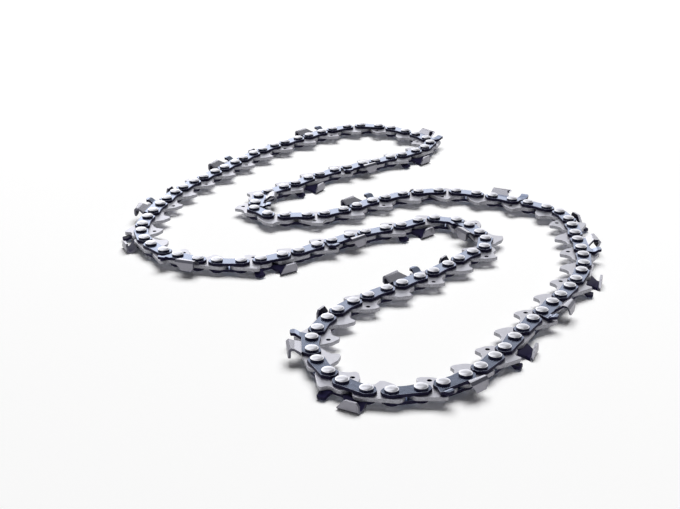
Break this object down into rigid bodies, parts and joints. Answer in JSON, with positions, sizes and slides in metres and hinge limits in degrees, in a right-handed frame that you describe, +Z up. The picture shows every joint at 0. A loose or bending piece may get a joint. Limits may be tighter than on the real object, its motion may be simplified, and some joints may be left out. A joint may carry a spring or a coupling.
{
  "type": "saw chain loop",
  "caption": "Closed loop of saw chain lying on its side in loose bends: alternate left and right cutters with depth gauges, tie straps, drive links with hooked tangs, and domed rivets.",
  "frame": {"origin": "on the table, under the middle of the loop's box", "axes": "+Z up along the rivets, +Y along the loop's long side away from the viewer, +X to the viewer's right"},
  "size_m": [0.1876, 0.3104, 0.0067],
  "materials": {
    "cutter_steel": "satin",
    "drive_steel": "satin",
    "strap_steel": "satin",
    "rivet_steel": "satin"
  },
  "bodies": {
    "root": {"right_cutter_01": "cutter_steel", "right_cutter_02": "cutter_steel", "right_cutter_03": "cutter_steel", "right_cutter_04": "cutter_steel", "right_cutter_05": "cutter_steel", "right_cutter_06": "cutter_steel", "right_cutter_07": "cutter_steel", "right_cutter_08": "cutter_steel", "right_cutter_09": "cutter_steel", "right_cutter_10": "cutter_steel", "right_cutter_11": "cutter_steel", "right_cutter_12": "cutter_steel", "right_cutter_13": "cutter_steel", "right_cutter_14": "cutter_steel", "right_cutter_15": "cutter_steel", "right_cutter_16": "cutter_steel", "left_cutter_01": "cutter_steel", "left_cutter_02": "cutter_steel", "left_cutter_03": "cutter_steel", "left_cutter_04": "cutter_steel", "left_cutter_05": "cutter_steel", "left_cutter_06": "cutter_steel", "left_cutter_07": "cutter_steel", "left_cutter_08": "cutter_steel", "left_cutter_09": "cutter_steel", "left_cutter_10": "cutter_steel", "left_cutter_11": "cutter_steel", "left_cutter_12": "cutter_steel", "left_cutter_13": "cutter_steel", "left_cutter_14": "cutter_steel", "left_cutter_15": "cutter_steel", "left_cutter_16": "cutter_steel", "drive_links_01": "drive_steel", "drive_links_02": "drive_steel", "drive_links_03": "drive_steel", "drive_links_04": "drive_steel", "drive_links_05": "drive_steel", "drive_links_06": "drive_steel", "drive_links_07": "drive_steel", "drive_links_08": "drive_steel", "drive_links_09": "drive_steel", "drive_links_10": "drive_steel", "drive_links_11": "drive_steel", "drive_links_12": "drive_steel", "drive_links_13": "drive_steel", "drive_links_14": "drive_steel", "drive_links_15": "drive_steel", "drive_links_16": "drive_steel", "tie_straps_01": "strap_steel", "tie_straps_02": "strap_steel", "tie_straps_03": "strap_steel", "tie_straps_04": "strap_steel", "tie_straps_05": "strap_steel", "tie_straps_06": "strap_steel", "tie_straps_07": "strap_steel", "tie_straps_08": "strap_steel", "rivets_01": "rivet_steel", "rivets_02": "rivet_steel", "rivets_03": "rivet_steel", "rivets_04": "rivet_steel"}
  },
  "joints": []
}
